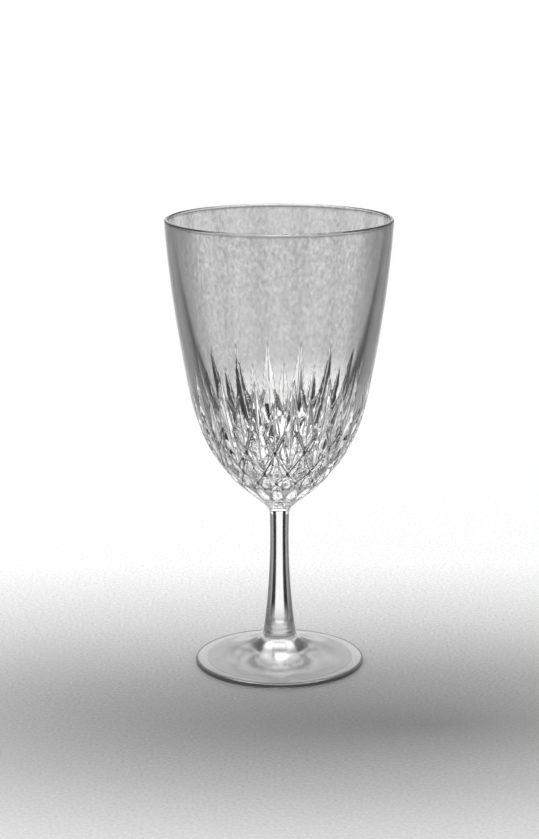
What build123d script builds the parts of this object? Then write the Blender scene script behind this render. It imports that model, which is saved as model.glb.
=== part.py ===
from build123d import *
import os
from math import cos, degrees, radians, sin, tan

# A stemmed wine glass of clear crystal with a wheel-cut bowl, in millimetres.
# Origin: centre of the resting plane. +Z runs up the axis of the glass.
# Four pieces are fused hot, end to end: foot, stem, button and bowl.

# --- Foot: a spun disc with a rounded edge and a hollow underside ---
foot_radius = 32.0
foot_height = 12.5
foot_edge_thickness = 2.2
foot_knee_radius = 11.0
foot_knee_height = 7.9
resting_ring_width = 3.5
hollow_rise = 1.6

# --- Stem: solid, slim near the button and wider at the foot ---
stem_length = 46.2
stem_foot_radius = 6.1
stem_calf_radius = 4.3
stem_calf_height = 16.5
stem_waist_radius = 3.5
stem_waist_height = 37.5
stem_top_radius = 3.65

# --- Button: the flared disc between stem and bowl ---
button_height = 5.8
button_radius = 8.4

# --- Bowl outline, with heights measured from the top of the button ---
bowl_height = 105.5
bowl_base_angle = 37.0
bowl_hip_radius = 18.7
bowl_hip_height = 9.5
bowl_belly_radius = 29.5
bowl_belly_height = 27.5
bowl_shoulder_radius = 34.1
bowl_shoulder_height = 45.5
bowl_side_radius = 39.0
bowl_side_height = 75.5
rim_radius = 41.9
rim_lean = 3.5

# --- Bowl wall, measured level from the outline to the inside ---
floor_thickness = 8.0
wall_at_belly = 5.0
wall_at_shoulder = 3.2
wall_at_side = 2.0
wall_at_rim = 1.5

# --- Cuts: V grooves ground up the outside of the bowl, tall and short in turn ---
cut_repeats = 16
cut_angle = 116.0
cut_depth = 0.8
tall_cut_bottom = 10.5
tall_cut_middle = 27.5
tall_cut_top = 53.5
short_cut_bottom = 7.5
short_cut_middle = 19.5
short_cut_top = 43.5
wheel_reach = 6.0
run_out = 6.0

# Where each piece starts on the axis.
stem_bottom = foot_height
button_bottom = stem_bottom + stem_length
bowl_bottom = button_bottom + button_height


def turned(outline):
    """A solid of revolution about Z from a closed outline of edges in the XZ plane."""
    return revolve(make_face(outline), Axis.Z)


def at(radius, height):
    """A point of an outline, in the XZ plane."""
    return (radius, 0, height)


def make_foot():
    edge_middle = foot_edge_thickness / 2
    edge_start = foot_radius - edge_middle
    ring_inner = edge_start - resting_ring_width
    top = Spline(
        at(edge_start, foot_edge_thickness),
        at(foot_knee_radius, foot_knee_height),
        at(stem_foot_radius, foot_height),
        tangents=[(-1, 0, 0.12), (-0.12, 0, 1)],
    )
    edge = ThreePointArc(at(edge_start, 0), at(foot_radius, edge_middle), at(edge_start, foot_edge_thickness))
    outline = [
        Line(at(0, 0), at(edge_start, 0)),
        edge,
        top,
        Line(at(stem_foot_radius, foot_height), at(0, foot_height)),
        Line(at(0, foot_height), at(0, 0)),
    ]
    hollow_radius = (ring_inner**2 + hollow_rise**2) / (2 * hollow_rise)
    hollow = Pos(0, 0, hollow_rise - hollow_radius) * Sphere(hollow_radius)
    return turned(outline) - hollow


def make_stem():
    top = stem_bottom + stem_length
    side = Spline(
        at(stem_foot_radius, stem_bottom),
        at(stem_calf_radius, stem_bottom + stem_calf_height),
        at(stem_waist_radius, stem_bottom + stem_waist_height),
        at(stem_top_radius, top),
        tangents=[(-0.15, 0, 1), (0.03, 0, 1)],
    )
    return turned(
        [
            Line(at(0, stem_bottom), at(stem_foot_radius, stem_bottom)),
            side,
            Line(at(stem_top_radius, top), at(0, top)),
            Line(at(0, top), at(0, stem_bottom)),
        ]
    )


def make_button():
    top = button_bottom + button_height
    flare = Spline(
        at(stem_top_radius, button_bottom),
        at(button_radius, top),
        tangents=[(0.1, 0, 1), (1.2, 0, 1)],
    )
    return turned(
        [
            Line(at(0, button_bottom), at(stem_top_radius, button_bottom)),
            flare,
            Line(at(button_radius, top), at(0, top)),
            Line(at(0, top), at(0, button_bottom)),
        ]
    )


def bowl_outside():
    """The outline of the bowl from the button up to the start of the rim bead."""
    lean = radians(bowl_base_angle)
    rim_start = bowl_bottom + bowl_height - wall_at_rim / 2
    return Spline(
        at(button_radius, bowl_bottom),
        at(bowl_hip_radius, bowl_bottom + bowl_hip_height),
        at(bowl_belly_radius, bowl_bottom + bowl_belly_height),
        at(bowl_shoulder_radius, bowl_bottom + bowl_shoulder_height),
        at(bowl_side_radius, bowl_bottom + bowl_side_height),
        at(rim_radius, rim_start),
        tangents=[(cos(lean), 0, sin(lean)), (sin(radians(rim_lean)), 0, cos(radians(rim_lean)))],
    )


def bowl_inside():
    """The outline of the inside, from the middle of its floor up to the rim bead."""
    rim_start = bowl_bottom + bowl_height - wall_at_rim / 2
    return Spline(
        at(0, bowl_bottom + floor_thickness),
        at(bowl_belly_radius - wall_at_belly, bowl_bottom + bowl_belly_height),
        at(bowl_shoulder_radius - wall_at_shoulder, bowl_bottom + bowl_shoulder_height),
        at(bowl_side_radius - wall_at_side, bowl_bottom + bowl_side_height),
        at(rim_radius - wall_at_rim, rim_start),
        tangents=[(1, 0, 0), (sin(radians(rim_lean)), 0, cos(radians(rim_lean)))],
    )


def skin_point(outside, height):
    """The point of the bowl's outline at a height above the top of the button."""
    crossing = outside.intersect(Plane.XY.offset(bowl_bottom + height))[0]
    return Vector(*crossing)


def mitre_cutter(outside, bottom, middle, top):
    """A ring with a V along its inner edge. The V enters the skin at the bottom height,
    is cut_depth under it at the middle height and leaves it at the top height."""
    sideways = Vector(0, 1, 0)
    deepest = skin_point(outside, middle)
    along = outside.tangent_at(outside.param_at_point(deepest))
    inward = sideways.cross(along) * -1
    edge = ThreePointArc(
        skin_point(outside, bottom),
        deepest + inward * cut_depth,
        skin_point(outside, top),
    )
    ring_axis = Axis(edge.arc_center, sideways)
    outward = (edge @ 0.5 - edge.arc_center).normalized()
    half_width = wheel_reach * tan(radians(cut_angle / 2))
    tip = edge @ 0.5
    wedge = Polyline(
        tip,
        tip + outward * wheel_reach + sideways * half_width,
        tip + outward * wheel_reach - sideways * half_width,
        close=True,
    )
    span = degrees(edge.length / edge.radius) + 2 * run_out
    return revolve(make_face(wedge).rotate(ring_axis, -span / 2), ring_axis, span)


def make_bowl():
    outside = bowl_outside()
    inside = bowl_inside()
    rim_crest = at(rim_radius - wall_at_rim / 2, bowl_bottom + bowl_height)
    bead = ThreePointArc(outside @ 1, rim_crest, inside @ 1)
    bowl = turned(
        [
            Line(at(0, bowl_bottom), at(button_radius, bowl_bottom)),
            outside,
            bead,
            inside,
            Line(at(0, bowl_bottom + floor_thickness), at(0, bowl_bottom)),
        ]
    )
    tall = mitre_cutter(outside, tall_cut_bottom, tall_cut_middle, tall_cut_top)
    short = mitre_cutter(outside, short_cut_bottom, short_cut_middle, short_cut_top)
    pitch = 360 / cut_repeats
    for step in range(cut_repeats):
        bowl -= Rot(0, 0, step * pitch) * short
        bowl -= Rot(0, 0, (step + 0.5) * pitch) * tall
    return bowl


PIECES = {
    "foot": make_foot,
    "stem": make_stem,
    "button": make_button,
    "bowl": make_bowl,
}

os.makedirs("parts", exist_ok=True)
for name, make in PIECES.items():
    export_step(make(), f"parts/{name}.step")
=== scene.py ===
import math

import bpy
import numpy as np
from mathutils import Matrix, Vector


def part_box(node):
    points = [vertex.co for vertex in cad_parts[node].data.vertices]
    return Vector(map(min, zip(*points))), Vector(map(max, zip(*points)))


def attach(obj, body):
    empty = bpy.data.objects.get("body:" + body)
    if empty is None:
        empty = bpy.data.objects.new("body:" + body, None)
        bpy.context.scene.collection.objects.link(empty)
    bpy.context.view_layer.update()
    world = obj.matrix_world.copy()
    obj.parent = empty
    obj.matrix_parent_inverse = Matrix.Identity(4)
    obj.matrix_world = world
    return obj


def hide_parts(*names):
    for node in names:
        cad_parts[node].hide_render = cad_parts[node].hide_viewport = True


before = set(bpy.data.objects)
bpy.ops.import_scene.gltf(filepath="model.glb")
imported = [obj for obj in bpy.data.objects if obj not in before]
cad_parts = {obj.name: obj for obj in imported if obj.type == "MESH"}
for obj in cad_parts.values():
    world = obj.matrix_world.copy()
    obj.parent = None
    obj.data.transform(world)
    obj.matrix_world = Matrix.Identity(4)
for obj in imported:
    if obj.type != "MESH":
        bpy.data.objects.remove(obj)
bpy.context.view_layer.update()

MM = 0.001

# ---------------------------------------------------------------- Foot
# A gather of clear crystal, spun out into a disc on the end of the stem and fire-polished.
# It stands on a flat ring, and the middle of its underside is slightly hollow.


def unit(direction):
    return np.array(direction, float) / np.linalg.norm(direction)


def line_through(points, start, end, count):
    """Evenly spaced points of a smooth line through points, with its directions at both ends."""
    knots = np.array(points, float)
    last = len(knots) - 1
    reach = np.linalg.norm(np.diff(knots, axis=0), axis=1)
    place = np.concatenate([[0], np.cumsum(reach)])
    system = np.eye(last + 1)
    pull = np.zeros((last + 1, 2))
    pull[0], pull[last] = unit(start), unit(end)
    for i in range(1, last):
        before, after = reach[i - 1], reach[i]
        system[i, i - 1 : i + 2] = after, 2 * (before + after), before
        behind, ahead = knots[i] - knots[i - 1], knots[i + 1] - knots[i]
        pull[i] = 3 * (after * behind / before + before * ahead / after)
    slope = np.linalg.solve(system, pull)
    along = np.linspace(0, place[-1], 4000)
    k = np.clip(np.searchsorted(place, along, "right") - 1, 0, last - 1)
    s = ((along - place[k]) / reach[k])[:, None]
    span = reach[k][:, None]
    line = (
        (2 * s**3 - 3 * s**2 + 1) * knots[k]
        + (s**3 - 2 * s**2 + s) * span * slope[k]
        + (3 * s**2 - 2 * s**3) * knots[k + 1]
        + (s**3 - s**2) * span * slope[k + 1]
    )
    length = np.concatenate([[0], np.cumsum(np.linalg.norm(np.diff(line, axis=0), axis=1))])
    even = np.linspace(0, length[-1], count)
    return np.column_stack([np.interp(even, length, line[:, axis]) for axis in (0, 1)])


def round_edge(start, end, bulge, count):
    """Points of a half-round edge from start to end, standing out by bulge to the right of its path."""
    start, end = np.array(start, float), np.array(end, float)
    middle, half = (start + end) / 2, (end - start) / 2
    side = unit((half[1], -half[0])) * bulge
    turn = np.linspace(0, math.pi, count)[:, None]
    return middle - half * np.cos(turn) + side * np.sin(turn)


def ring(radius, height, columns):
    """One ring of points in metres; a radius of nothing gives the single point on the axis."""
    if radius < 1e-6:
        return np.array([[0, 0, height]]) * MM
    turn = np.arange(columns) * 2 * math.pi / columns
    return np.column_stack([radius * np.sin(turn), -radius * np.cos(turn), np.full(columns, height)]) * MM


def band(low, high, n_low, n_high):
    """Faces between two rings: squares, or fans where one ring is finer or is a single point."""
    faces = []
    if n_low == n_high:
        for i in range(n_low):
            j = (i + 1) % n_low
            faces.append((low + i, low + j, high + j, high + i))
        return faces
    if n_low > n_high:
        return [tuple(reversed(face)) for face in band(high, low, n_high, n_low)]
    share = n_high // n_low
    for i in range(n_low):
        j = (i + 1) % n_low
        first = i * share
        for step in range(share):
            a, b = first + step, (first + step + 1) % n_high
            near = low + (i if step < share / 2 or n_low == 1 else j)
            faces.append((high + b, high + a, near))
            if n_low > 1 and step + 1 == share // 2:
                faces.append((low + i, low + j, high + b))
    return faces


def glass_mesh(name, rings, joined, materials):
    """A closed mesh of rings from the axis underneath to the axis on top. The bands in joined are the
    faces where it is fused to its neighbour, and take the second material."""
    points = np.vstack(rings)
    starts = np.concatenate([[0], np.cumsum([len(r) for r in rings])])
    faces, finish = [], []
    for i in range(len(rings) - 1):
        made = band(int(starts[i]), int(starts[i + 1]), len(rings[i]), len(rings[i + 1]))
        faces += made
        finish += [1 if i in joined else 0] * len(made)
    mesh = bpy.data.meshes.new(name)
    mesh.from_pydata(points.tolist(), [], faces)
    mesh.polygons.foreach_set("material_index", finish)
    for material in materials:
        mesh.materials.append(material)
    mesh.polygons.foreach_set("use_smooth", [True] * len(faces))
    mesh.set_sharp_from_angle(angle=math.radians(60))
    mesh.validate()
    piece = bpy.data.objects.new(name, mesh)
    bpy.context.scene.collection.objects.link(piece)
    return piece


def linear(hex_colour):
    """The linear colour of an sRGB hex value."""
    parts = [int(hex_colour[i : i + 2], 16) / 255 for i in (1, 3, 5)]
    return [p / 12.92 if p <= 0.04045 else ((p + 0.055) / 1.055) ** 2.4 for p in parts] + [1]


def add_node(nodes, kind, settings=None, sockets=None, links=None):
    """Adds a node, sets its settings and its unlinked sockets, and links outputs into it."""
    node = nodes.new(kind)
    for name, value in (settings or {}).items():
        setattr(node, name, value)
    for name, value in (sockets or {}).items():
        node.inputs[name].default_value = value
    for name, output in (links or {}).items():
        node.id_data.links.new(output, node.inputs[name])
    return node


def new_material(name):
    material = bpy.data.materials.new(name)
    material.use_nodes = True
    material.node_tree.nodes.clear()
    return material, material.node_tree.nodes


def fusion_line():
    """Where two hot gathers have become one: no surface is left there, so light goes straight on."""
    material, nodes = new_material("fused_glass")
    clear = add_node(nodes, "ShaderNodeBsdfPrincipled", sockets={"Alpha": 0.0, "Roughness": 1.0})
    add_node(nodes, "ShaderNodeOutputMaterial", links={"Surface": clear.outputs["BSDF"]})
    return material


CRYSTAL_IOR = 1.545
SHADOW_SHARE = 0.9


def let_light_through(nodes, glass, share):
    """Lamps shine through clear glass on to the table, so shadow rays pass it with a small loss."""
    path = add_node(nodes, "ShaderNodeLightPath")
    open_way = add_node(nodes, "ShaderNodeBsdfTransparent", sockets={"Color": (share, share, share, 1)})
    mix = add_node(nodes, "ShaderNodeMixShader", links={"Fac": path.outputs["Is Shadow Ray"]})
    tree = mix.id_data
    tree.links.new(glass.outputs["BSDF"], mix.inputs[1])
    tree.links.new(open_way.outputs["BSDF"], mix.inputs[2])
    add_node(nodes, "ShaderNodeOutputMaterial", links={"Surface": mix.outputs["Shader"]})


def colour_steps(nodes, value, stops):
    """A ramp of linear colours, given as (position, colour)."""
    steps = add_node(nodes, "ShaderNodeValToRGB", links={"Fac": value})
    elements = steps.color_ramp.elements
    while len(elements) < len(stops):
        elements.new(1.0)
    for element, (position, colour) in zip(elements, stops):
        element.position = position
        element.color = colour
    return steps.outputs["Color"]


def edge_on_painted_shade(nodes, stops):
    """Painted shade: the glass colour darkens from face-on to edge-on, standing in for the dark
    surroundings that a thick wall bends into view when looked at along its skin.
    """
    facing = add_node(nodes, "ShaderNodeLayerWeight", sockets={"Blend": 0.5}).outputs["Facing"]
    return colour_steps(nodes, facing, [(position, linear(tone)) for position, tone in stops])


def fire_polished_crystal(
    name, stops, ripple_mm, ripple_depth_mm, roughness=0.0, shine=0.5, painted_shade_edge_radius=None
):
    """Clear crystal left as the fire smoothed it: colourless, with the faint slow ripples of hot
    glass, which bend what shows in it a little. Some roughness stands for the fine wear of use, and
    softens that further. Its colour darkens towards edge-on views, a painted shade. On a disc a darker
    line is painted along its thick round edge, from the radius given outwards: a painted shade where
    the round edge bends the view away."""
    material, nodes = new_material(name)
    place = add_node(nodes, "ShaderNodeTexCoord").outputs["Object"]
    ripple = add_node(
        nodes,
        "ShaderNodeTexNoise",
        sockets={"Scale": 1 / (ripple_mm * MM), "Detail": 2.0, "Roughness": 0.4},
        links={"Vector": place},
    )
    bump = add_node(
        nodes,
        "ShaderNodeBump",
        sockets={"Strength": 1.0, "Distance": ripple_depth_mm * MM},
        links={"Height": ripple.outputs["Fac"]},
    )
    tint = edge_on_painted_shade(nodes, stops)
    # Painted shade: a dark line mixed into the colour from the given radius outwards, along the disc's
    # thick round edge.
    if painted_shade_edge_radius:
        flat = add_node(nodes, "ShaderNodeVectorMath", {"operation": "MULTIPLY"}, links={0: place})
        flat.inputs[1].default_value = (1, 1, 0)
        radius = add_node(
            nodes, "ShaderNodeVectorMath", {"operation": "LENGTH"}, links={0: flat.outputs[0]}
        )
        dark = add_node(
            nodes,
            "ShaderNodeMapRange",
            sockets={"From Min": painted_shade_edge_radius * MM, "From Max": (painted_shade_edge_radius + 1) * MM},
            links={"Value": radius.outputs["Value"]},
        )
        edged = add_node(
            nodes,
            "ShaderNodeMix",
            {"data_type": "RGBA"},
            sockets={7: linear("#383838")},
            links={0: dark.outputs["Result"], 6: tint},
        )
        tint = edged.outputs[2]
    glass = add_node(
        nodes,
        "ShaderNodeBsdfPrincipled",
        sockets={
            "Roughness": roughness,
            "IOR": CRYSTAL_IOR,
            "Specular IOR Level": shine,
            "Transmission Weight": 1.0,
        },
        links={"Base Color": tint, "Normal": bump.outputs["Normal"]},
    )
    let_light_through(nodes, glass, SHADOW_SHARE)
    return material


fused = fusion_line()
foot_low, foot_high = (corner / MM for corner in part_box("foot"))
PLAIN_COLUMNS = 128
foot_radius = foot_high.x
foot_edge = 2.2
resting_ring = 3.5
hollow_rise = 1.6
ring_lip = 0.6
stem_foot_radius = 6.1
ring_outer = foot_radius - foot_edge / 2
ring_inner = ring_outer - resting_ring
hollow_sphere = (ring_inner**2 + hollow_rise**2) / (2 * hollow_rise)
hollow = [
    (r, hollow_rise - hollow_sphere + math.sqrt(hollow_sphere**2 - r**2))
    for r in np.linspace(0, ring_inner, 24)
]
edge = round_edge((ring_outer, 0), (ring_outer, foot_edge), foot_edge / 2, 13)
foot_top = line_through(
    [(ring_outer, foot_edge), (11.0, 7.9), (stem_foot_radius, foot_high.z)],
    (-1, 0.12),
    (-0.12, 1),
    56,
)
foot_outline = hollow + [(ring_outer - ring_lip, 0)] + list(edge) + list(foot_top[1:]) + [(0, foot_high.z)]
foot_rings = [ring(r, z + foot_low.z, PLAIN_COLUMNS) for r, z in foot_outline]
# Painted shade: the foot's colour darkens towards edge-on views.
FOOT_EDGE_ON_SHADE = ((0.0, "#FFFFFF"), (0.6, "#FCFCFC"), (0.85, "#D8D8D8"), (1.0, "#A0A0A0"))
foot_glass = fire_polished_crystal(
    "fire_polished_foot_crystal",
    FOOT_EDGE_ON_SHADE,
    ripple_mm=14.0,
    ripple_depth_mm=0.05,
    roughness=0.14,
    shine=0.3,
    painted_shade_edge_radius=ring_outer,
)
foot = glass_mesh("spun_foot", foot_rings, {len(foot_rings) - 2}, [foot_glass, fused])
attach(foot, "root")
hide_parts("foot")

# ---------------------------------------------------------------- Stem
# A solid rod of crystal drawn down from the button while hot: slim at the top, wider at the foot.
# Its side was never touched by a tool, so it is round and smooth.
stem_low, stem_high = (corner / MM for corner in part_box("stem"))
stem_top_radius = 3.65
stem_side = line_through(
    [
        (stem_foot_radius, stem_low.z),
        (4.3, stem_low.z + 16.5),
        (3.5, stem_low.z + 37.5),
        (stem_top_radius, stem_high.z),
    ],
    (-0.15, 1),
    (0.03, 1),
    70,
)
stem_outline = [(0, stem_low.z)] + list(stem_side) + [(0, stem_high.z)]
stem_rings = [ring(r, z, PLAIN_COLUMNS) for r, z in stem_outline]
# Painted shade: the stem's colour darkens towards edge-on views, so its sides draw dark.
STEM_EDGE_ON_SHADE = ((0.0, "#FFFFFF"), (0.08, "#FFFFFF"), (0.2, "#808080"), (0.5, "#606060"), (1.0, "#505050"))
stem_glass = fire_polished_crystal(
    "drawn_stem_crystal", STEM_EDGE_ON_SHADE, ripple_mm=14.0, ripple_depth_mm=0.02, roughness=0.13
)
stem = glass_mesh("drawn_stem", stem_rings, {0, len(stem_rings) - 2}, [stem_glass, fused])
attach(stem, "root")
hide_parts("stem")

# ---------------------------------------------------------------- Button
# The small flared bit of crystal that the bowl sits on, pressed flat on top and waisted below.
# It is fused to the bowl above and to the stem below, with no surface left between them.
button_low, button_high = (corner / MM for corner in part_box("button"))
button_radius = 8.4
flare = line_through(
    [(stem_top_radius, button_low.z), (button_radius, button_high.z)], (0.1, 1), (1.2, 1), 24
)
button_outline = [(0, button_low.z)] + list(flare) + [(0, button_high.z)]
button_rings = [ring(r, z, PLAIN_COLUMNS) for r, z in button_outline]
# Painted shade: the button's colour darkens towards edge-on views.
BUTTON_EDGE_ON_SHADE = ((0.0, "#FFFFFF"), (0.4, "#FFFFFF"), (0.7, "#909090"), (1.0, "#404040"))
button_glass = fire_polished_crystal(
    "pressed_button_crystal", BUTTON_EDGE_ON_SHADE, ripple_mm=6.0, ripple_depth_mm=0.02
)
button = glass_mesh("flared_button", button_rings, {0, len(button_rings) - 2}, [button_glass, fused])
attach(button, "root")
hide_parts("button")

# ---------------------------------------------------------------- Bowl
# A deep bowl blown with a thick base, cracked off, and fire-polished at the rim. V wheels then ground
# the mitres: pairs lean both ways round the base and cross, and upright ones run up between them.
# Small olives, ground with a rounded wheel, sit in three rows round the base.
bowl_low, bowl_high = (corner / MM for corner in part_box("bowl"))
base = bowl_low.z
rim_radius = 41.9
rim_wall = 1.5
bead_start = bowl_high.z - rim_wall / 2
WALL_LEAN = (math.sin(math.radians(3.5)), math.cos(math.radians(3.5)))
OUTSIDE_ROWS = 540
# Radius of the skin, its height over the base, and the wall there.
SIDE = ((29.5, 27.5, 5.0), (34.1, 45.5, 3.2), (39.0, 75.5, 2.0))
side_outside = [(radius, base + rise) for radius, rise, wall in SIDE]
side_inside = [(radius - wall, base + rise) for radius, rise, wall in SIDE]
base_thickness = 8.0
outside = line_through(
    [(button_radius, base), (18.7, base + 9.5)] + side_outside + [(rim_radius, bead_start)],
    (math.cos(math.radians(37)), math.sin(math.radians(37))),
    WALL_LEAN,
    OUTSIDE_ROWS,
)
inside = line_through(
    [(0, base + base_thickness)] + side_inside + [(rim_radius - rim_wall, bead_start)],
    (1, 0),
    WALL_LEAN,
    90,
)

CUT_REPEATS = 16
pitch = 2 * math.pi / CUT_REPEATS
cut_start = math.radians(-3.5)
LEAN_SLOPE = 1 / math.tan(math.radians(53))
UPRIGHT_SLOPE = 1 / math.tan(math.radians(68))


def skin_radius(height):
    return np.interp(height, outside[:, 1], outside[:, 0])


def skin_point(turn, height):
    radius = skin_radius(height)
    return np.stack([radius * np.sin(turn), -radius * np.cos(turn), height + 0 * turn], axis=-1)


def skin_normal(turn, height):
    step = 0.05
    slope = (skin_radius(height + step) - skin_radius(height - step)) / (2 * step)
    return unit((math.sin(turn), -math.cos(turn), -slope))


def ramp(value, start, full):
    return np.clip((value - start) / (full - start), 0, 1)


def groove(off_centre, depth, slope, soften=0.10):
    """How deep a V wheel has cut at a distance from the middle of its groove."""
    return depth - slope * (np.sqrt(off_centre**2 + soften**2) - soften)


def deeper(a, b, blend=0.06):
    """The deeper of two cuts, with the ridge between them slightly rounded by the acid polish."""
    gap = np.clip(0.5 + (a - b) / (2 * blend), 0, 1)
    return b + (a - b) * gap + blend * gap * (1 - gap)


# The middle of each leaning mitre lies in one plane, as a flat wheel leaves it.
lean_low = skin_point(np.float64(0.0), 74.0)
lean_high = skin_point(np.float64(2 * pitch), 120.0)
lean_plane = unit(np.cross(lean_high - lean_low, skin_normal(pitch, 90.0)))


# Each cut's full depth, and the heights or degrees over which it comes in and runs out.
LEAN_DEPTH, LEAN_RUN_OUT = 1.0, (106, 84)
LEAN_START, LEAN_SPAN = (-9, 1), (-14, 62)
LEAN_LIFT, LEAN_LIFT_SPAN = 0.12, (-12, -6)
SHORT_DEPTH, SHORT_FOOT, SHORT_TIP = 0.85, (86, 95), (110, 96)
TALL_DEPTH, TALL_FOOT, TALL_TIP = 1.15, (80, 92), (119, 96)
CLEAR_OF_SKIN = 0.05
# Each row of olives: between the upright cuts or not, middle height, half width, half height, depth.
OLIVES = (
    (False, 68.8, 2.1, 3.0, 0.6),
    (True, 76.8, 2.3, 4.0, 0.7),
    (False, 86.0, 2.5, 5.0, 0.7),
)


def cut_depth(turn, height):
    """How far the wheels have cut in from the blown skin at a turn round the axis and a height."""
    radius = skin_radius(height)
    total = np.zeros_like(turn)
    for k in range(CUT_REPEATS):
        own = (turn - cut_start - k * pitch + math.pi) % (2 * math.pi) - math.pi
        between = (own - pitch / 2 + math.pi) % (2 * math.pi) - math.pi
        for side in (1, -1):
            swing = own * side
            off = (skin_point(swing, height) - lean_low) @ lean_plane
            near = (swing > math.radians(LEAN_SPAN[0])) & (swing < math.radians(LEAN_SPAN[1]))
            depth = LEAN_DEPTH * ramp(np.degrees(swing), *LEAN_START) * ramp(height, *LEAN_RUN_OUT)
            depth = depth - LEAN_LIFT * (1 - ramp(np.degrees(swing), *LEAN_LIFT_SPAN))
            total = np.where(near, deeper(groove(off, depth, LEAN_SLOPE), total), total)
        off = radius * np.sin(own)
        depth = SHORT_DEPTH * ramp(height, *SHORT_FOOT) * ramp(height, *SHORT_TIP) - CLEAR_OF_SKIN
        total = np.where(np.abs(own) < pitch, deeper(groove(off, depth, UPRIGHT_SLOPE), total), total)
        off = radius * np.sin(between)
        depth = TALL_DEPTH * ramp(height, *TALL_FOOT) * ramp(height, *TALL_TIP) - CLEAR_OF_SKIN
        total = np.where(np.abs(between) < pitch, deeper(groove(off, depth, UPRIGHT_SLOPE), total), total)
        for is_between, middle, half_width, half_height, depth in OLIVES:
            centre = between if is_between else own
            reach = np.sqrt((radius * centre / half_width) ** 2 + ((height - middle) / half_height) ** 2)
            total = np.where(np.abs(centre) < pitch, deeper(depth * (1 - reach**2), total), total)
    return np.maximum(total, 0)


CUT_COLUMNS = 512
cut_low, cut_high = base + 1.6, 126.0
bowl_rings = [ring(0, base, PLAIN_COLUMNS), ring(button_radius, base, PLAIN_COLUMNS)]
wheel_marks = [np.zeros(1), np.zeros(PLAIN_COLUMNS)]
painted_dark_lines = [np.zeros(1), np.zeros(PLAIN_COLUMNS)]


def sharpness(row, step):
    """How sharply the ground skin turns at a row: high along the bottom of a V and along a ridge."""
    here, above, below = (
        cut_depth(turns, np.full(CUT_COLUMNS, outside[row + shift][1])) for shift in (0, 1, -1)
    )
    width = outside[row][0] * 2 * math.pi / CUT_COLUMNS
    across = (np.roll(here, 1) + np.roll(here, -1) - 2 * here) / width**2
    along = (above + below - 2 * here) / step**2
    return np.abs(across) + np.abs(along)


turns = np.arange(CUT_COLUMNS) * 2 * math.pi / CUT_COLUMNS
CUT_ROW_STEP, PLAIN_ROW_STEP, RIM_ROWS = 2, 12, 6
MARKED_DEPTH = 0.12
# Fine dark rings: two where the bowl was stuck on to the button, and one where the bead of the rim starts,
# which is painted shade under the round bead.
RING_ROWS = (2, 5, OUTSIDE_ROWS - 3)
RING_DARKNESS, BEAD_PAINTED_SHADE = 0.8, 0.7
for row in range(1, OUTSIDE_ROWS):
    radius, height = outside[row]
    in_cuts = cut_low < height < cut_high
    if in_cuts and row % CUT_ROW_STEP == 0:
        tangent = unit(outside[min(row + 1, OUTSIDE_ROWS - 1)] - outside[row - 1])
        sunk = cut_depth(turns, np.full(CUT_COLUMNS, height))
        r, z = radius - tangent[1] * sunk, height + tangent[0] * sunk
        bowl_rings.append(np.column_stack([r * np.sin(turns), -r * np.cos(turns), z]) * MM)
        wheel_marks.append(ramp(sunk, 0.0, MARKED_DEPTH))
        row_gap = np.linalg.norm(outside[row + 1] - outside[row])
        # Painted shade: where the ground skin turns sharply, along the bottoms and ridges of the cuts, a
        # dark line is drawn.
        painted_dark_lines.append(ramp(sharpness(row, row_gap), 0.4, 0.95))
    elif not in_cuts and (row % PLAIN_ROW_STEP == 0 or height < cut_low or row > OUTSIDE_ROWS - RIM_ROWS):
        bowl_rings.append(ring(radius, height, PLAIN_COLUMNS))
        wheel_marks.append(np.zeros(PLAIN_COLUMNS))
        painted_dark_lines.append(np.full(PLAIN_COLUMNS, RING_DARKNESS if row in RING_ROWS else 0.0))
bead = round_edge(outside[-1], inside[-1], rim_wall / 2, 13)[1:-1]
for i, (radius, height) in enumerate(list(bead) + list(inside[::-1])):
    bowl_rings.append(ring(radius, height, PLAIN_COLUMNS))
    wheel_marks.append(np.ones(len(bowl_rings[-1])))
    # Painted shade: a dark line on the inside where the bead of the rim meets the inside wall.
    painted_dark_lines.append(np.full(len(bowl_rings[-1]), BEAD_PAINTED_SHADE if i == len(bead) else 0.0))


# Painted shade: a mottled grey put in the colour of the plain upper wall, standing in for darker
# surroundings seen through the bowl.
PAINTED_GREY_MIDDLE = 0.52
PAINTED_GREY_STEPS = ((0.34, "#7E7E7E"), (0.70, "#B4B4B4"))
# Painted shade: the plain outer skin of the bowl darkens towards edge-on views.
BOWL_EDGE_ON_SHADE = ((0.25, "#FFFFFF"), (0.36, "#D0D0D0"), (0.44, "#989898"), (0.53, "#747474"), (1.0, "#505050"))


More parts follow.
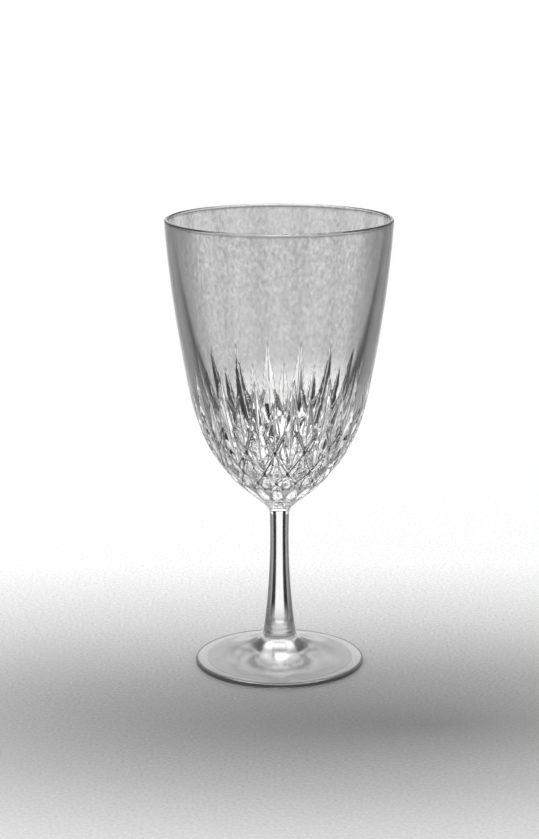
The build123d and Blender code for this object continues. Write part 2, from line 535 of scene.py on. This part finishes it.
def blown_crystal(name):
    """Blown crystal: clear and glossy. A mottled grey is painted into the colour of the outside of the
    plain upper wall, a painted shade standing in for darker surroundings seen through the bowl; it greys
    what shows through it, and is more even lower down. The ground faces and the inside are clear and
    untinted. On the plain outside the colour also darkens towards edge-on views, a painted shade, and the
    sharp edges of the cuts are drawn dark, a painted shade where they bend the view away."""
    material, nodes = new_material(name)
    place = add_node(nodes, "ShaderNodeTexCoord").outputs["Object"]
    height = add_node(nodes, "ShaderNodeSeparateXYZ", links={"Vector": place}).outputs["Z"]
    wander = add_node(
        nodes,
        "ShaderNodeTexNoise",
        sockets={"Scale": 1 / (18 * MM), "Detail": 3.0},
        links={"Vector": place},
    )
    shifted = add_node(
        nodes,
        "ShaderNodeMath",
        {"operation": "MULTIPLY_ADD"},
        sockets={1: 14 * MM},
        links={0: wander.outputs["Fac"], 2: height},
    )
    across = add_node(nodes, "ShaderNodeSeparateXYZ", links={"Vector": place}).outputs["X"]
    shifted = add_node(
        nodes,
        "ShaderNodeMath",
        {"operation": "MULTIPLY_ADD"},
        sockets={1: -0.2},
        links={0: across, 2: shifted.outputs[0]},
    )
    # Where the painted grey lies: above a wandering line on the upper wall, and not on ground faces or the
    # inside.
    painted_grey_share = add_node(
        nodes,
        "ShaderNodeMapRange",
        {"interpolation_type": "SMOOTHSTEP"},
        sockets={"From Min": 100 * MM, "From Max": 118 * MM},
        links={"Value": shifted.outputs[0]},
    )
    ground = add_node(nodes, "ShaderNodeAttribute", {"attribute_name": "wheel_cut"}).outputs["Fac"]
    kept = add_node(
        nodes,
        "ShaderNodeMath",
        {"operation": "SUBTRACT", "use_clamp": True},
        sockets={0: 1.0},
        links={1: ground},
    )
    painted_grey_share = add_node(
        nodes,
        "ShaderNodeMath",
        {"operation": "MULTIPLY"},
        links={0: painted_grey_share.outputs["Result"], 1: kept.outputs[0]},
    )
    stretched_place = add_node(nodes, "ShaderNodeMapping", sockets={"Scale": (1, 1, 0.6)}, links={"Vector": place})
    blotch = add_node(
        nodes,
        "ShaderNodeTexNoise",
        sockets={"Scale": 1 / (1.3 * MM), "Detail": 4.0, "Roughness": 0.6},
        links={"Vector": stretched_place.outputs[0]},
    )
    mottle_strength = add_node(
        nodes,
        "ShaderNodeMapRange",
        sockets={"From Min": 120 * MM, "From Max": 155 * MM, "To Min": 0.45, "To Max": 1.0},
        links={"Value": height},
    )
    centred = add_node(
        nodes,
        "ShaderNodeMath",
        {"operation": "SUBTRACT"},
        sockets={1: PAINTED_GREY_MIDDLE},
        links={0: blotch.outputs["Fac"]},
    )
    spotted = add_node(
        nodes,
        "ShaderNodeMath",
        {"operation": "MULTIPLY_ADD"},
        sockets={2: PAINTED_GREY_MIDDLE},
        links={0: centred.outputs[0], 1: mottle_strength.outputs["Result"]},
    )
    painted_grey = colour_steps(nodes, spotted.outputs[0], [(place, linear(tone)) for place, tone in PAINTED_GREY_STEPS])
    colour = add_node(
        nodes,
        "ShaderNodeMix",
        {"data_type": "RGBA"},
        sockets={6: linear("#FFFFFF")},
        links={0: painted_grey_share.outputs[0], 7: painted_grey},
    )
    ripple = add_node(
        nodes,
        "ShaderNodeTexNoise",
        sockets={"Scale": 1 / (9 * MM), "Detail": 2.0},
        links={"Vector": place},
    )
    bump = add_node(
        nodes,
        "ShaderNodeBump",
        sockets={"Strength": 1.0, "Distance": 0.02 * MM},
        links={"Height": ripple.outputs["Fac"]},
    )
    tint = add_node(
        nodes,
        "ShaderNodeMix",
        {"data_type": "RGBA", "blend_type": "MULTIPLY"},
        links={0: kept.outputs[0], 6: colour.outputs[2], 7: edge_on_painted_shade(nodes, BOWL_EDGE_ON_SHADE)},
    )
    # Painted shade: the dark lines along the cut edges and at the rim bead, with the fine rings at the
    # foot of the bowl, mix the colour towards black.
    edge = add_node(nodes, "ShaderNodeAttribute", {"attribute_name": "painted_dark_line"}).outputs["Fac"]
    tint = add_node(
        nodes,
        "ShaderNodeMix",
        {"data_type": "RGBA"},
        sockets={7: linear("#000000")},
        links={0: edge, 6: tint.outputs[2]},
    )
    glass = add_node(
        nodes,
        "ShaderNodeBsdfPrincipled",
        sockets={"Roughness": 0.0, "IOR": CRYSTAL_IOR, "Transmission Weight": 1.0},
        links={"Base Color": tint.outputs[2], "Normal": bump.outputs["Normal"]},
    )
    let_light_through(nodes, glass, SHADOW_SHARE)
    return material


bowl_glass = blown_crystal("blown_cut_crystal")
bowl = glass_mesh("cut_bowl", bowl_rings, {0}, [bowl_glass, fused])
marks = bowl.data.attributes.new("wheel_cut", "FLOAT", "POINT")
marks.data.foreach_set("value", np.concatenate(wheel_marks))
edges = bowl.data.attributes.new("painted_dark_line", "FLOAT", "POINT")
edges.data.foreach_set("value", np.concatenate(painted_dark_lines))
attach(bowl, "root")
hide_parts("bowl")

# ---------------------------------------------------------------- Table and room
# A pale matt table top with a fine grain and a soft painted pool of shade in front of the glass, in a
# white studio. The camera sees plain white round it. Glass shows tall white panels with black gaps
# instead.
table_mesh = bpy.data.meshes.new("table_top")
reach = 3.0
table_mesh.from_pydata(
    [(-reach, -reach, 0), (reach, -reach, 0), (reach, reach, 0), (-reach, reach, 0)], [], [(0, 1, 2, 3)]
)
table = bpy.data.objects.new("table_top", table_mesh)
bpy.context.scene.collection.objects.link(table)


PANELS = 8
PANEL_STEPS = ((0.22, 0.0), (0.38, 1.0))
PANEL_GLOW = 1.7
# How much narrower the whites are, by distance from the glass in metres.
MAT_RINGS = (
    (0.04, 0.0),
    (0.05, 0.6),
    (0.07, 0.6),
    (0.08, 0.0),
    (0.11, 0.0),
    (0.13, 0.5),
    (0.22, 0.5),
    (0.28, 0.0),
)


def white_panels(nodes, x, y, narrowed=None):
    """Eight tall white panels stand round the glass with black gaps between them. Straight through,
    glass shows a panel; a bevel or a round side bends the view on to a gap, and so draws dark.
    The white is narrower where narrowed is high. Only light that came through glass sees them."""
    bearing = add_node(nodes, "ShaderNodeMath", {"operation": "ARCTAN2"}, links={0: x, 1: y})
    wave = add_node(
        nodes,
        "ShaderNodeMath",
        {"operation": "MULTIPLY"},
        sockets={1: float(PANELS)},
        links={0: bearing.outputs[0]},
    )
    swing = add_node(nodes, "ShaderNodeMath", {"operation": "COSINE"}, links={0: wave.outputs[0]})
    share = add_node(
        nodes,
        "ShaderNodeMapRange",
        sockets={"From Min": -1.0, "From Max": 1.0},
        links={"Value": swing.outputs[0]},
    )
    share = share.outputs["Result"]
    if narrowed:
        share = add_node(nodes, "ShaderNodeMath", {"operation": "SUBTRACT"}, links={0: share, 1: narrowed})
        share = share.outputs[0]
    return grey_steps(nodes, share, PANEL_STEPS)


def grey_steps(nodes, value, steps):
    """A ramp of grey levels, given as (position, level)."""
    return colour_steps(nodes, value, [(position, (level, level, level, 1)) for position, level in steps])


def panel_glow(nodes, both_walls):
    """How bright the panels are: plain white, and PANEL_GLOW of it for what is seen through both walls,
    which makes up for the light that two tinted walls take."""
    glow = add_node(
        nodes,
        "ShaderNodeMath",
        {"operation": "MULTIPLY_ADD"},
        sockets={1: PANEL_GLOW - 1, 2: 1.0},
        links={0: both_walls},
    )
    return glow.outputs[0]


# Light passes two surfaces to cross one wall, and four to cross both.
CROSSINGS_OF_BOTH_WALLS = 2.5


def seen_through_glass(nodes):
    """The share of a ray that comes to this surface through glass, the share from the eye, and
    whether the ray has crossed both walls of a hollow piece."""
    path = add_node(nodes, "ShaderNodeLightPath")
    both_walls = add_node(
        nodes,
        "ShaderNodeMath",
        {"operation": "GREATER_THAN"},
        sockets={1: CROSSINGS_OF_BOTH_WALLS},
        links={0: path.outputs["Transmission Depth"]},
    )
    return path.outputs["Is Transmission Ray"], path.outputs["Is Camera Ray"], both_walls.outputs[0]


# Painted shade: a dimmer pool coloured into the paper in front of the glass, darkest at its middle.
PAINTED_POOL_TONES = ((0.0, "#686868"), (0.22, "#989898"), (0.46, "#CCCCCC"), (0.78, "#F6F6F6"))
POOL_REACH = 0.25


def table_paper():
    """Pale paper with a fine grain near the glass that fades to plain white further off. A dimmer pool, a
    painted shade, is coloured in front of the glass. Through glass, the paper away from the foot shows the
    panels."""
    material, nodes = new_material("grained_pale_paper")
    place = add_node(nodes, "ShaderNodeTexCoord").outputs["Object"]
    away = add_node(nodes, "ShaderNodeVectorMath", {"operation": "LENGTH"}, links={0: place})
    far = add_node(
        nodes,
        "ShaderNodeMapRange",
        {"interpolation_type": "SMOOTHSTEP"},
        sockets={"From Min": 0.06, "From Max": 0.38},
        links={"Value": away.outputs["Value"]},
    )
    near_panels = add_node(
        nodes,
        "ShaderNodeMapRange",
        sockets={"From Min": 0.033, "From Max": 0.05},
        links={"Value": away.outputs["Value"]},
    )
    grain = add_node(
        nodes,
        "ShaderNodeTexNoise",
        sockets={"Scale": 1 / (1.2 * MM), "Detail": 4.0, "Roughness": 0.65},
        links={"Vector": place},
    )
    bump = add_node(
        nodes,
        "ShaderNodeBump",
        sockets={"Strength": 0.6, "Distance": 0.3 * MM},
        links={"Height": grain.outputs["Fac"]},
    )
    pool_place = add_node(
        nodes,
        "ShaderNodeMapping",
        sockets={"Location": (-0.015, 0.067, 0), "Scale": (0.3, 1.0, 1.0)},
        links={"Vector": place},
    )
    pool = add_node(
        nodes, "ShaderNodeVectorMath", {"operation": "LENGTH"}, links={0: pool_place.outputs[0]}
    )
    shade = add_node(
        nodes,
        "ShaderNodeMapRange",
        sockets={"From Min": 0.0, "From Max": POOL_REACH},
        links={"Value": pool.outputs["Value"]},
    )
    tones = [(position, linear(tone)) for position, tone in PAINTED_POOL_TONES]
    paper_with_painted_pool = colour_steps(nodes, shade.outputs["Result"], tones)
    fleck = add_node(
        nodes,
        "ShaderNodeMapRange",
        sockets={"From Min": 0.3, "From Max": 0.7, "To Min": 0.78, "To Max": 1.18},
        links={"Value": grain.outputs["Fac"]},
    )
    tone = add_node(
        nodes,
        "ShaderNodeVectorMath",
        {"operation": "SCALE"},
        links={0: paper_with_painted_pool, "Scale": fleck.outputs["Result"]},
    )
    paper = add_node(
        nodes,
        "ShaderNodeBsdfPrincipled",
        sockets={"Roughness": 0.6},
        links={"Base Color": tone.outputs[0], "Normal": bump.outputs["Normal"]},
    )
    parts = add_node(nodes, "ShaderNodeSeparateXYZ", links={"Vector": place})
    bent, straight, both_walls = seen_through_glass(nodes)
    narrowed = add_node(
        nodes,
        "ShaderNodeMath",
        {"operation": "MULTIPLY"},
        links={0: both_walls, 1: grey_steps(nodes, away.outputs["Value"], MAT_RINGS)},
    )
    panels = white_panels(nodes, parts.outputs["X"], parts.outputs["Y"], narrowed.outputs[0])
    shown = add_node(
        nodes,
        "ShaderNodeMix",
        {"data_type": "RGBA"},
        sockets={7: (1, 1, 1, 1)},
        links={0: straight, 6: panels},
    )
    strength = panel_glow(nodes, both_walls)
    white = add_node(
        nodes, "ShaderNodeEmission", links={"Color": shown.outputs[2], "Strength": strength}
    )
    seen = add_node(
        nodes, "ShaderNodeMath", {"operation": "MULTIPLY"}, links={0: straight, 1: far.outputs["Result"]}
    )
    share = add_node(
        nodes,
        "ShaderNodeMath",
        {"operation": "MULTIPLY_ADD"},
        links={0: bent, 1: near_panels.outputs["Result"], 2: seen.outputs[0]},
    )
    mix = add_node(nodes, "ShaderNodeMixShader", links={"Fac": share.outputs[0]})
    mix.id_data.links.new(paper.outputs["BSDF"], mix.inputs[1])
    mix.id_data.links.new(white.outputs["Emission"], mix.inputs[2])
    add_node(nodes, "ShaderNodeOutputMaterial", links={"Surface": mix.outputs["Shader"]})
    return material


table_mesh.materials.append(table_paper())

scene = bpy.context.scene
world = bpy.data.worlds.new("white_studio")
scene.world = world
world.use_nodes = True
sky = world.node_tree.nodes
sky.clear()
heading = add_node(sky, "ShaderNodeTexCoord").outputs["Generated"]
parts = add_node(sky, "ShaderNodeSeparateXYZ", links={"Vector": heading})
TIERS = ((0.36, 1.0), (0.42, 0.0), (0.55, 0.0), (0.62, 0.9), (1.0, 0.6))
# Reflections see an even grey room with a bright patch overhead.
OVERHEAD_EDGE, OVERHEAD_GLOW, ROOM_GREY = 0.8, 5.0, 0.55
both = add_node(
    sky,
    "ShaderNodeMix",
    {"data_type": "RGBA", "blend_type": "MULTIPLY"},
    sockets={0: 1.0},
    links={
        6: white_panels(sky, parts.outputs["X"], parts.outputs["Y"]),
        7: grey_steps(sky, parts.outputs["Z"], TIERS),
    },
)
bent, straight, both_walls = seen_through_glass(sky)
lit = add_node(
    sky,
    "ShaderNodeBackground",
    links={"Color": both.outputs[2], "Strength": panel_glow(sky, both_walls)},
)
overhead = grey_steps(sky, parts.outputs["Z"], ((OVERHEAD_EDGE, 0.0), (OVERHEAD_EDGE + 0.02, 1.0)))
mirrored = add_node(
    sky,
    "ShaderNodeMath",
    {"operation": "MULTIPLY"},
    links={0: add_node(sky, "ShaderNodeLightPath").outputs["Is Glossy Ray"], 1: overhead},
)
glint = add_node(
    sky,
    "ShaderNodeMath",
    {"operation": "MULTIPLY_ADD"},
    sockets={1: OVERHEAD_GLOW, 2: ROOM_GREY},
    links={0: mirrored.outputs[0]},
)
soft = add_node(
    sky, "ShaderNodeBackground", sockets={"Color": (1, 1, 1, 1)}, links={"Strength": glint.outputs[0]}
)
plain = add_node(sky, "ShaderNodeBackground", sockets={"Color": (1, 1, 1, 1), "Strength": 1.0})
first = add_node(sky, "ShaderNodeMixShader", links={"Fac": bent})
world.node_tree.links.new(soft.outputs[0], first.inputs[1])
world.node_tree.links.new(lit.outputs[0], first.inputs[2])
second = add_node(sky, "ShaderNodeMixShader", links={"Fac": straight})
world.node_tree.links.new(first.outputs[0], second.inputs[1])
world.node_tree.links.new(plain.outputs[0], second.inputs[2])
add_node(sky, "ShaderNodeOutputWorld", links={"Surface": second.outputs[0]})

# ---------------------------------------------------------------- Lamps
# One broad soft lamp overhead.
lamp = bpy.data.lights.new("overhead_softbox", "AREA")
lamp.shape = "RECTANGLE"
lamp.size, lamp.size_y = 0.9, 0.9
lamp.energy = 9.0
lamp_place = bpy.data.objects.new("overhead_softbox", lamp)
lamp_place.location = (-0.2, 0.2, 1.2)
lamp_place.rotation_euler = (math.radians(-8), math.radians(-8), 0)
scene.collection.objects.link(lamp_place)

# ---------------------------------------------------------------- Camera
# A little above the rim, looking gently down at the glass from about five glass heights away.
glass_height = bowl_high.z * MM
camera_back = 4.5627 * glass_height
camera_up = 1.6237 * glass_height
camera = bpy.data.cameras.new("camera")
camera.sensor_fit = "VERTICAL"
camera.sensor_height = 36.0
camera.lens = 91.8
camera_place = bpy.data.objects.new("camera", camera)
camera_place.location = (-3.3 * MM, -camera_back, camera_up)
camera_place.rotation_euler = (math.radians(90 - 13.16), math.radians(0.11), 0)
scene.collection.objects.link(camera_place)
scene.camera = camera_place

scene.view_settings.view_transform = "Standard"
scene.cycles.max_bounces = 32
scene.cycles.transmission_bounces = 32
scene.cycles.transparent_max_bounces = 32
scene.cycles.glossy_bounces = 16
